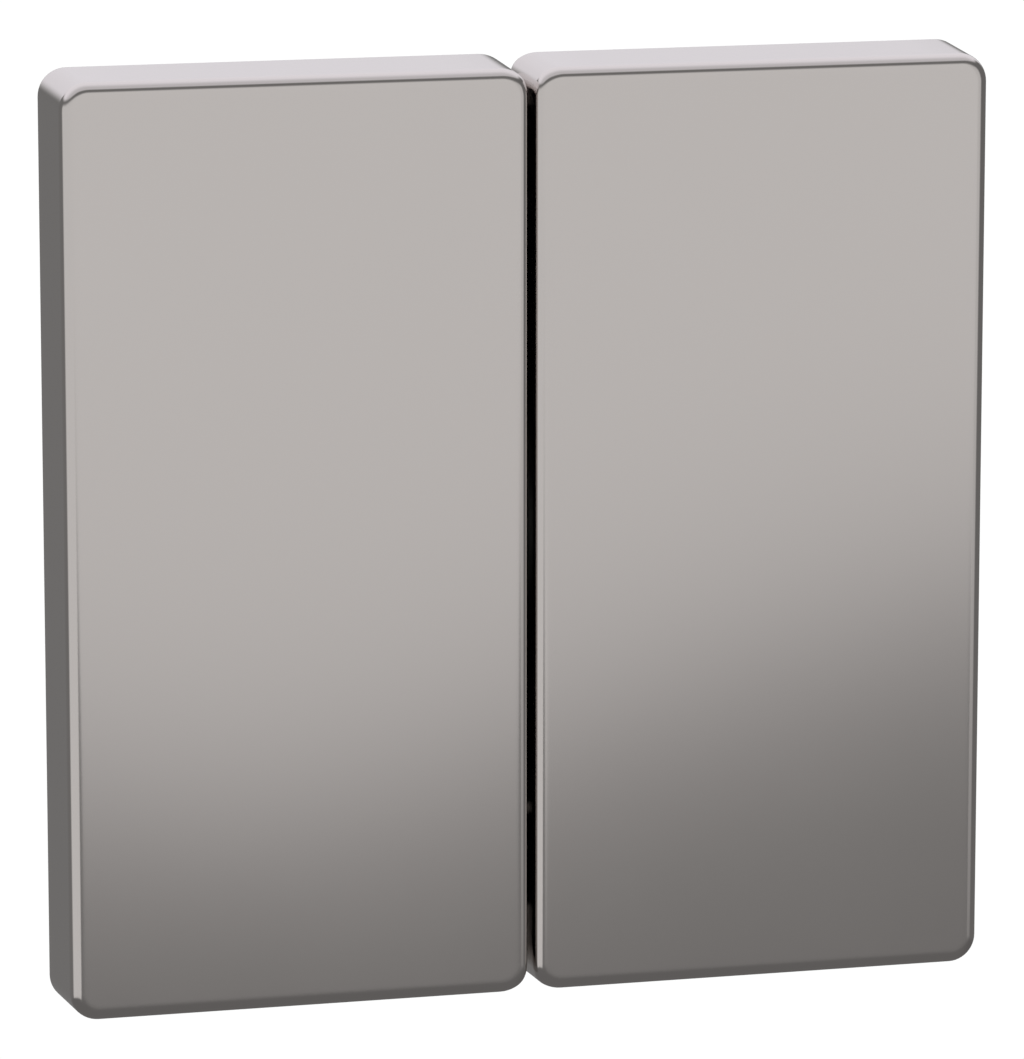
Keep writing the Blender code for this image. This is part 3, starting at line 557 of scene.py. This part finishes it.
def screw_head(x, z, seat, radius, height):
    """Rows at fixed z cross the disc, each from edge to edge. The height is a low dome,
    height * (1 - share * distance^2), less a quarter circle at the rim, and less the slot between
    its two rows. The last ring is brought straight down to the seat."""
    band = np.linspace(SLOT_HALF, radius * 0.999, 16)
    rows = np.concatenate([-band[::-1], [-SLOT_HALF, 0.0, SLOT_HALF], band])
    in_slot = np.zeros(len(rows), bool)
    in_slot[len(band) : -len(band)] = True
    share = np.sin(np.linspace(-math.pi / 2, math.pi / 2, 33))
    across = share[None, :] * np.sqrt(np.maximum(radius**2 - rows[:, None] ** 2, 0.0))
    along = np.broadcast_to(rows[:, None], across.shape)
    distance = np.sqrt(across**2 + along**2) / radius
    edge = np.clip((distance - (1 - RIM_SHARE)) / RIM_SHARE, 0, 1)
    drop = RIM_DROP * height * (1 - np.sqrt(np.maximum(1 - edge**2, 0)))
    dome = height * (1 - DOME_SHARE * distance**2) - drop
    top = np.where(in_slot[:, None], height - SLOT_DEPTH, dome)
    surface = np.stack([x + across, seat - top, z + along], -1)
    lines = [surface[0], surface[1:-1, -1], surface[-1][::-1], surface[1:-1, 0][::-1]]
    rim_ring = np.concatenate(lines)
    foot = rim_ring.copy()
    foot[:, 1] = seat
    count, columns = len(rows), len(share)
    i, j = np.meshgrid(np.arange(count - 1), np.arange(columns - 1), indexing="ij")
    first = i * columns + j
    corners = np.stack([first, first + 1, first + columns + 1, first + columns], -1)
    top_faces = corners.reshape(-1, 4).tolist()
    points, ring = count * columns, len(rim_ring)
    sides = grid_faces(2, ring, points)
    underside = [list(range(points + ring, points + 2 * ring))]
    all_points = np.concatenate([surface.reshape(-1, 3), rim_ring, foot])
    return all_points, top_faces + sides + underside


# %% A threaded shank
THREAD_SHARE, RUN_OUT_TURNS = 0.2, 0.8


def threaded_shank(x, z, start, end, radius, pitch):
    """Radius = core + thread, where the thread is a triangle wave of (length / pitch - turn). It
    runs out near the end."""
    rows = int((end - start) / pitch * 10)
    turn = np.linspace(0, 2 * math.pi, 28, endpoint=False)
    y = np.linspace(start, end, rows + 1)[:, None]
    wave = np.abs(2 * ((y / pitch - turn / (2 * math.pi)) % 1) - 1)
    taper = np.clip((end - y) / (RUN_OUT_TURNS * pitch), 0.0, 1.0)
    r = radius * (1 - THREAD_SHARE + THREAD_SHARE * wave * taper)
    y = np.broadcast_to(y, r.shape)
    return closed_tube(np.stack([x + r * np.cos(turn), y, z + r * np.sin(turn)], -1))


# %% The four screws
def screw(node, body, x, z, seat, kind):
    """A screw at (x, z) with its head on the seat. The kind holds its end, radii and pitch."""
    head = screw_head(x, z, seat, kind["head radius"], kind["head height"])
    shank = threaded_shank(x, z, seat, kind["end"], kind["radius"], kind["pitch"])
    made = piece(node + "_cut", [head, shank], body, SCREW_STEEL, SHARP_DEGREES)
    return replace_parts(made, node)


PLATE_FRONT, COVER_SEAT = -1.3, -1.8
CLAW_SCREW_X, CLAW_SCREW_Z = 25.9, 6.5
COVER_SCREW_X, COVER_SCREW_Z = 15.6, 14.5
CLAW_SCREW = {"end": 8.6, "radius": 1.25, "head radius": 2.3, "head height": 1.3, "pitch": 0.5}
COVER_SCREW = {"end": 9.0, "radius": 0.95, "head radius": 2.0, "head height": 1.1, "pitch": 0.6}
for label, side in SIDES.items():
    name, x, z = "claw_screw_" + label, side * CLAW_SCREW_X, side * CLAW_SCREW_Z
    screw(name, name, x, z, PLATE_FRONT, CLAW_SCREW)
for label, sign in {"lower": -1, "upper": 1}.items():
    x, z = -sign * COVER_SCREW_X, sign * COVER_SCREW_Z
    screw("cover_screw_" + label, "insert", x, z, COVER_SEAT, COVER_SCREW)
print("screws: two for the claws, two for the cover")

# %% [markdown]
# ## Plungers, springs and contact rivets
#
# These are turned or wound parts. A turned part is a profile carried round its axis, and a spring
# is a small circle carried along a helix. The last turn at each end closes up and lies almost flat,
# so that the spring pushes evenly. The plungers and the moving contacts sit at an angle, because
# what carries them rests tilted. In the switch the coil's foot sits on the rocker and its top on the
# plunger, so it shortens as the plunger sinks. Here the coil is fixed in place, on no body.


# %% Turned and wound parts
def turned(x, z, profile, columns=40):
    """A profile of (y, radius) pairs carried round an axis along Y: (x + r cos, y, z + r sin)."""
    y, r = (np.array(profile, float).T)[..., None]
    turn = np.linspace(0, 2 * math.pi, columns, endpoint=False)
    y = np.broadcast_to(y, (len(r), columns))
    return np.stack([x + r * np.cos(turn), y, z + r * np.sin(turn)], -1)


def arc(y, r, radius, start, end, steps):
    """Points of a circular arc in a profile. Angles are degrees from the axis to the outside."""
    angle = np.radians(np.linspace(start, end, steps + 1))
    return np.stack([y + radius * np.cos(angle), r + radius * np.sin(angle)], -1).tolist()


SHANK_RADIUS, ROUNDED_SHARE, POLE = 0.75, 0.7, 0.02


def rivet_profile(front, back, front_head, back_head):
    """A shank between two heads with rounded rims, as (y, radius) from front to back. Each head is
    (radius, height), and each end stops a hair short of the axis, where one face closes it."""
    (front_radius, front_height), (back_radius, back_height) = front_head, back_head
    start, end = front - front_height, back + back_height
    front_round, back_round = ROUNDED_SHARE * front_height, ROUNDED_SHARE * back_height
    front_rim = arc(start + front_round, front_radius - front_round, front_round, 180, 90, 5)
    shank = [(front, SHANK_RADIUS), (back, SHANK_RADIUS)]
    back_rim = arc(end - back_round, back_radius - back_round, back_round, 90, 0, 5)
    front_end = [(start, POLE)] + front_rim + [(front, front_radius)]
    return front_end + shank + [(back, back_radius)] + back_rim + [(end, POLE)]


def coil(x, start, end, radius, wire, turns):
    """A circle carried along a helix. Its height eases in and out, t - sin(2 pi t) * a share, so
    that the end turns lie almost flat."""
    t = np.linspace(0, 1, turns * 28 + 1)
    ease = t - np.sin(2 * np.pi * t) / (2 * np.pi) * 0.45
    turn = 2 * np.pi * turns * t
    outward = np.stack([np.cos(turn), np.zeros_like(t), np.sin(turn)], -1)
    axis = np.array([0.0, 1.0, 0.0])
    climb = (start + (end - start) * ease)[:, None] * axis
    centre = np.array([x, 0.0, 0.0]) + radius * outward + climb
    around = np.linspace(0, 2 * math.pi, 10, endpoint=False)[None, :, None]
    section = np.cos(around) * outward[:, None] + np.sin(around) * axis
    return centre[:, None] + wire * section


# %% Contacts, plungers and coils in their places
LEVER_X = 9.9
CONTACT_PIVOT_Y, CONTACT_TILT = 16.0, -9.0
MOVING_CONTACT_Z, FIXED_CONTACT_Z = -9.5, -9.15
MOVING_RIVET = rivet_profile(15.3, 16.7, (1.3, 0.6), (1.7, 0.9))
FIXED_RIVET = rivet_profile(20.2, 21.6, (1.7, 0.8), (1.7, 0.4))
PIN_TAIL = [(4.6, POLE), (4.6, 0.75), (4.75, 0.9), (8.0, 0.9), (8.0, 2.05), (8.15, 2.2)]
PIN = PIN_TAIL + arc(12.9, 0.0, 2.2, 90, 1, 14)
COIL_FOOT, COIL_TOP, COIL_RADIUS, WIRE_RADIUS, COIL_TURNS = 2.9, 7.3, 1.8, 0.25, 5


def round_part(name, points, body, finish, node):
    """A turned or wound tube as a piece that stands for a CAD node."""
    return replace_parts(piece(name, [closed_tube(points)], body, finish), node)


for label, side in SIDES.items():
    x, rocker, plunger = side * LEVER_X, "rocker_" + label, "plunger_" + label
    rivet = about_x(turned(x, MOVING_CONTACT_Z, MOVING_RIVET), CONTACT_TILT, CONTACT_PIVOT_Y)
    name, node, body = "moving_contact_round_", "moving_contact_", "contact_" + label
    round_part(name + label, rivet, body, SILVER, node + label)
    rivet = turned(x, FIXED_CONTACT_Z, FIXED_RIVET)
    name, node = "fixed_contact_round_", "fixed_contact_"
    round_part(name + label, rivet, "insert", SILVER, node + label)
    pin = tilt(turned(x, 0.0, PIN))
    round_part("plunger_pin_" + label, pin, plunger, TOGGLE, plunger)
    wound = tilt(coil(x, COIL_FOOT, COIL_TOP, COIL_RADIUS, WIRE_RADIUS, COIL_TURNS))
    name, node = "plunger_coil_" + label, "plunger_spring_" + label
    spring = round_part(name, wound, None, SPRING_STEEL, node)
    foot, top = (tuple(tilt(np.array([x, y, 0.0])) * MM) for y in (COIL_FOOT, COIL_TOP))
    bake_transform(spring)
print("turned and wound parts:", 4 * len(SIDES))

# %% [markdown]
# ## Small mouldings on the housing
#
# A moulded housing is never plain. Wires need a collar to find the hole, the release buttons sit
# between guards, thin walls are stiffened by ribs, a raised line frames an empty field, and a
# raised bar shows how much insulation to strip. These are low pads with a rounded outline and a
# rounded top, so one function shapes them on any wall, and a turned ring makes the collars. All of
# them run a little way into the wall.


# %% A raised pad
BACK, HALF_WIDTH, HALF_HEIGHT = 24.0, 20.7, 23.0
WIRE_Z, WIRE_HALF_PITCH, BUTTON_Z, GUARD_HALF_PITCH = 14.9, 1.8, 17.7, 4.2
CLAMP_X = {"left": -LEVER_X, "right": LEVER_X, "line": 0.0}
FIELD_HALF_WIDTH, FIELD_HALF_HEIGHT, GAUGE_Z, GAUGE_HALF = 12.15, 6.0, -9.0, 5.5
SUNK, LEAST_RADIUS = 0.15, 0.04
GUARD_RISE, LINE_RISE, RIB_RISE = 0.9, 0.35, 0.45


def pad(u, v, width, height, rise, place, corner=0.35):
    """A raised pad about (u, v) on a wall. Its rows are outlines at growing heights: up the side,
    then inwards over a quarter circle. place turns (u, v, height over the wall) into (x, y, z)."""
    bend = np.linspace(0, math.pi / 2, 5)
    soft = 0.45 * min(rise, 0.4)
    inset = np.append(0.0, soft * (1 - np.cos(bend)))
    level = np.append(-SUNK, rise - soft * (1 - np.sin(bend)))
    sides = np.linspace(0, 1, 5)[1:-1]
    flat = outline(width / 2, height / 2, inset, corner, sides, LEAST_RADIUS)
    level = np.broadcast_to(level[:, None], flat.shape[:2])
    return closed_tube(place(np.stack([flat[..., 0] + u, flat[..., 1] + v, level], -1)))


# %% The walls that pads stand on
def on_back(points):
    """The back wall: across, up, and outwards along +Y."""
    return np.stack([points[..., 0], BACK + points[..., 2], points[..., 1]], -1)


def on_top(points, sign):
    """The top wall, or with sign -1 the bottom wall: across, along the depth, outwards."""
    return np.stack([points[..., 0], points[..., 1], sign * (HALF_HEIGHT + points[..., 2])], -1)


def on_side(points, sign):
    """The right wall, or with sign -1 the left wall: up, along the depth, outwards along X."""
    return np.stack([sign * (HALF_WIDTH + points[..., 2]), points[..., 1], points[..., 0]], -1)


# %% Collars round the wire entries
COLLAR = [(0.42, 1.72), (0.5, 1.64), (0.5, 1.58), (0.1, 1.3), (-SUNK, 1.3), (-SUNK, 1.72)]
COLLAR_COLUMNS = 44


def collar(x, z):
    """A ring round a wire entry. Its inner edge opens as a funnel. The profile of (height over the
    wall, radius) pairs is closed into a loop by starting with its last pair."""
    loop = np.array(COLLAR[-1:] + COLLAR) + (BACK, 0.0)
    points = turned(x, z, loop, COLLAR_COLUMNS)
    return points.reshape(-1, 3), grid_faces(len(loop), COLLAR_COLUMNS)


# %% All the small mouldings
def at_clamps():
    """Collars for two wires and guards beside the button, at each of the three clamps."""
    shapes = []
    for label, sign in CLAMP_SIDES.items():
        for hand in (-1, 1):
            shapes.append(collar(CLAMP_X[label] + hand * WIRE_HALF_PITCH, sign * WIRE_Z))
            guard_x = CLAMP_X[label] + hand * GUARD_HALF_PITCH
            shapes.append(pad(guard_x, sign * BUTTON_Z, 0.8, 2.6, GUARD_RISE, on_back))
    return shapes


def on_the_back():
    """The frame of an empty field, and the bar and ends of the gauge for stripping."""
    shapes = [pad(0.0, GAUGE_Z, 2 * GAUGE_HALF - 0.4, 0.6, LINE_RISE, on_back, 0.25)]
    for hand in (-1, 1):
        level, upright = hand * FIELD_HALF_HEIGHT, hand * FIELD_HALF_WIDTH
        shapes.append(pad(0.0, level, 2 * FIELD_HALF_WIDTH + 0.7, 0.7, LINE_RISE, on_back, 0.3))
        shapes.append(pad(upright, 0.0, 0.7, 2 * FIELD_HALF_HEIGHT, LINE_RISE, on_back, 0.3))
        shapes.append(pad(hand * GAUGE_HALF, GAUGE_Z, 0.6, 2.0, LINE_RISE, on_back, 0.25))
    return shapes


def ribs():
    """Ribs along the depth: four above and below, and two on each side, clear of the claws."""
    middle_y, width, length = 12.6, 0.9, 19.0
    shapes = []
    for sign in (-1, 1):
        top, side = partial(on_top, sign=sign), partial(on_side, sign=sign)
        across, upright = (-9.0, -3.0, 3.0, 9.0), (-sign * 6.5, -sign * 10.0)
        shapes += [pad(x, middle_y, width, length, RIB_RISE, top) for x in across]
        shapes += [pad(z, middle_y, width, length, RIB_RISE, side) for z in upright]
    return shapes


shapes = at_clamps() + on_the_back() + ribs()
mouldings = piece("housing_mouldings", shapes, "insert", HOUSING)
print(mouldings.name, "has", len(mouldings.data.polygons), "faces")

# %% [markdown]
# ## The floor
#
# The switch is shown by itself over a plain white floor, which fills the view behind it as a sheet
# of white paper does. It glows just enough to stay white. Shiny surfaces do not mirror it, because
# their look should come from the studio, and from below it is see-through.


# %% Floor
WHITE, PAPER_GLOW = (1.0, 1.0, 1.0, 1.0), 1.02
SEEN_FROM_BEHIND = 6
FLOOR_HEIGHT_M, FLOOR_RINGS_M, FLOOR_COLUMNS = -0.07, [0.01, 0.5, 2.0, 9.0], 96


def floor_finish():
    """A glowing white sheet from above, and clear from below."""
    made, tree, shader = material("floor_paper", NOT_METAL)
    tree.nodes.remove(shader)
    paper = tree.node("ShaderNodeEmission", {}, {"Color": WHITE, "Strength": PAPER_GLOW})
    clear = tree.node("ShaderNodeBsdfTransparent")
    behind = tree.node("ShaderNodeNewGeometry", output=SEEN_FROM_BEHIND)
    shown = tree.node("ShaderNodeMixShader", {}, {0: behind, 1: paper, 2: clear})
    tree.links.new(shown.socket, tree.nodes["Material Output"].inputs["Surface"])
    return made


def floor_disc():
    """A disc of rings, (r cos, r sin, height), each a larger circle, all facing upwards."""
    turn = np.linspace(0, 2 * math.pi, FLOOR_COLUMNS, endpoint=False)
    r = np.array(FLOOR_RINGS_M)[:, None]
    level = np.full((len(r), FLOOR_COLUMNS), FLOOR_HEIGHT_M)
    points = np.stack([r * np.cos(turn), r * np.sin(turn), level], -1).reshape(-1, 3)
    faces = grid_faces(len(r), FLOOR_COLUMNS) + [list(range(FLOOR_COLUMNS))]
    mesh = bpy.data.meshes.new("floor")
    mesh.from_pydata(points.tolist(), [], faces)
    bm = bmesh.new()
    bm.from_mesh(mesh)
    bmesh.ops.recalc_face_normals(bm, faces=bm.faces)
    bm.faces.ensure_lookup_table()
    if bm.faces[0].normal.z < 0:
        bmesh.ops.reverse_faces(bm, faces=bm.faces)
    bm.to_mesh(mesh)
    bm.free()
    return mesh


floor = bpy.data.objects.new("floor", floor_disc())
bpy.context.scene.collection.objects.link(floor)
floor.data.materials.append(floor_finish())
floor.visible_glossy = False
floor.visible_shadow = False
print("floor at", FLOOR_HEIGHT_M, "m")

# %% [markdown]
# ## The studio
#
# Polished metal has no look of its own: it shows what stands round it. A photographer lights it
# with large white panels and leaves the rest dark. Here the panels are painted on the sky as smooth
# masks of direction: a broad panel low in front, reaching round to the left, and a brighter one
# overhead, which comes further down behind the switch and to its left. The front panel's lower
# border slopes a little, and the metal's roughness softens it. That border is what draws the change
# from light to dark down the rockers' faces.
#
# A direction is given by its azimuth, which is 0 straight in front and grows towards the right, and
# its elevation above the horizon, both in degrees. Each mask is a product of smooth steps.


# %% The masks of the front panel and of the sky
BORDER_ELEVATION = -24.0


def front_panel(tree, azimuth, elevation):
    """The panel is above its border, below 18 degrees, and between its left and right ends. The
    border rises from left to right, and drops again at the far right, where the panel is dimmer."""
    slope = 0.36 * azimuth.sum("SMOOTH_MAX", azimuth - 13.0, 0.0, 1.5)
    rise = azimuth.sum("MINIMUM", slope, 2.4) + tree.step(azimuth, -16.0, 0.0, high=8.7)
    rise = rise - tree.step(azimuth, 3.0, 13.0, high=1.85)
    above_border = elevation - BORDER_ELEVATION - rise + tree.step(azimuth, 22.0, 31.0, high=5.0)
    dimmer = tree.step(elevation, -19.5, -11.5, low=0.92, high=0.15)
    far_right = tree.step(azimuth, 21.0, 29.0) * dimmer
    panel = tree.step(above_border, -0.3, 0.3) * tree.step(elevation, 18.0, 5.0)
    ends = tree.step(azimuth, -108.0, -86.0) * tree.step(azimuth, 54.0, 40.0)
    return panel * (1.0 - far_right) * ends


def overhead_sky(tree, x, y, elevation):
    """The sky starts at 30 to 42 degrees, up to 26 degrees lower behind and 11 lower at the left.
    It brightens upwards, ends at the far right, and is weaker in front."""
    behind = tree.step(y, 0.2, 0.75, high=26.0) * tree.step(x, -0.6, -0.35)
    lower = x.sum("MAXIMUM", behind, tree.step(x, -0.15, -0.6, high=11.0))
    overhead = tree.step(elevation + lower, 30.0, 42.0)
    overhead = overhead * tree.step(elevation, 18.0, 40.0, low=1.0, high=1.17)
    return overhead * tree.step(x, 0.96, 0.78) * tree.step(y, -0.6, 0.3, low=0.6)


# %% The studio as a function of direction
DARK_LEVEL, SKY_LEVEL = 0.16, 0.685
PANEL_LEFT_LEVEL, PANEL_RIGHT_LEVEL = 0.505, 0.53
PANEL_TINT, SKY_TINT = (1.0, 0.985, 0.98), (1.0, 0.975, 1.03)


def studio():
    """Light = dark room + level * panel + level * sky. The camera itself sees white paper."""
    world = bpy.data.worlds.new("studio")
    bpy.context.scene.world = world
    world.use_nodes = True
    tree = Tree(world.node_tree.nodes, world.node_tree.links)
    direction = tree.node("ShaderNodeTexCoord")
    split = tree.node("ShaderNodeSeparateXYZ", {}, {0: direction}).socket.node
    x, y, z = (Value(tree, split.outputs[axis]) for axis in "XYZ")
    azimuth = x.sum("ARCTAN2", x, y * -1.0) * math.degrees(1.0)
    elevation = z.sum("ARCSINE", z) * math.degrees(1.0)
    panel = front_panel(tree, azimuth, elevation)
    sky = overhead_sky(tree, x, y, elevation)
    dark = DARK_LEVEL + tree.step(elevation, -26.0, -18.0, high=0.035)
    dark = dark - tree.step(x, 0.4, 0.8, high=0.02)
    level = tree.step(azimuth, -20.0, 8.0, low=PANEL_LEFT_LEVEL, high=PANEL_RIGHT_LEVEL)
    light = dark + level * panel + SKY_LEVEL * sky
    tint = tree.blend(sky, PANEL_TINT, SKY_TINT)
    room = tree.node("ShaderNodeBackground", {}, {"Color": tint, "Strength": light})
    paper = tree.node("ShaderNodeBackground", {}, {"Color": WHITE, "Strength": PAPER_GLOW})
    straight = tree.node("ShaderNodeLightPath")
    shown = tree.node("ShaderNodeMixShader", {}, {0: straight, 1: room, 2: paper})
    tree.links.new(shown.socket, tree.nodes["World Output"].inputs["Surface"])


studio()
bpy.context.scene.view_settings.view_transform = "Standard"
print("studio with", len(bpy.context.scene.world.node_tree.nodes), "nodes")

# %% [markdown]
# ## The camera
#
# The switch is seen from a little to its left and from slightly above, from half a metre away
# through a long lens, which keeps its uprights nearly parallel. The camera is placed in the
# rockers' own frame, where the faces stand upright, and is tilted with them.

# %% Camera
YAW, PITCH = math.radians(14.64), math.radians(11.14)
DISTANCE, ASIDE, ABOVE = 495.2, 1.537, 0.535
LENS, SENSOR = 228.15, 36.0
NEAREST_M, FURTHEST_M = 0.01, 50.0

ahead = np.array([math.sin(YAW), math.cos(YAW), 0.0])
forward = math.cos(PITCH) * ahead - np.array([0.0, 0.0, math.sin(PITCH)])
right = np.array([math.cos(YAW), -math.sin(YAW), 0.0])
up = np.cross(right, forward)
face_centre = np.array([0.0, FRONT, 0.0])
place = face_centre - ASIDE * right + ABOVE * up - DISTANCE * forward
stood = tilt(np.array([place, place + right, place + up, place - forward]))
axes = stood[1:] - stood[0]
camera = bpy.data.objects.new("camera", bpy.data.cameras.new("camera"))
bpy.context.scene.collection.objects.link(camera)
turn = Matrix(axes.tolist()).transposed().to_4x4()
camera.matrix_world = Matrix.Translation(Vector(stood[0] * MM)) @ turn
camera.data.lens = LENS
camera.data.sensor_width = SENSOR
camera.data.clip_start, camera.data.clip_end = NEAREST_M, FURTHEST_M
bpy.context.scene.camera = camera
print("camera", [round(v, 1) for v in stood[0]], "mm")
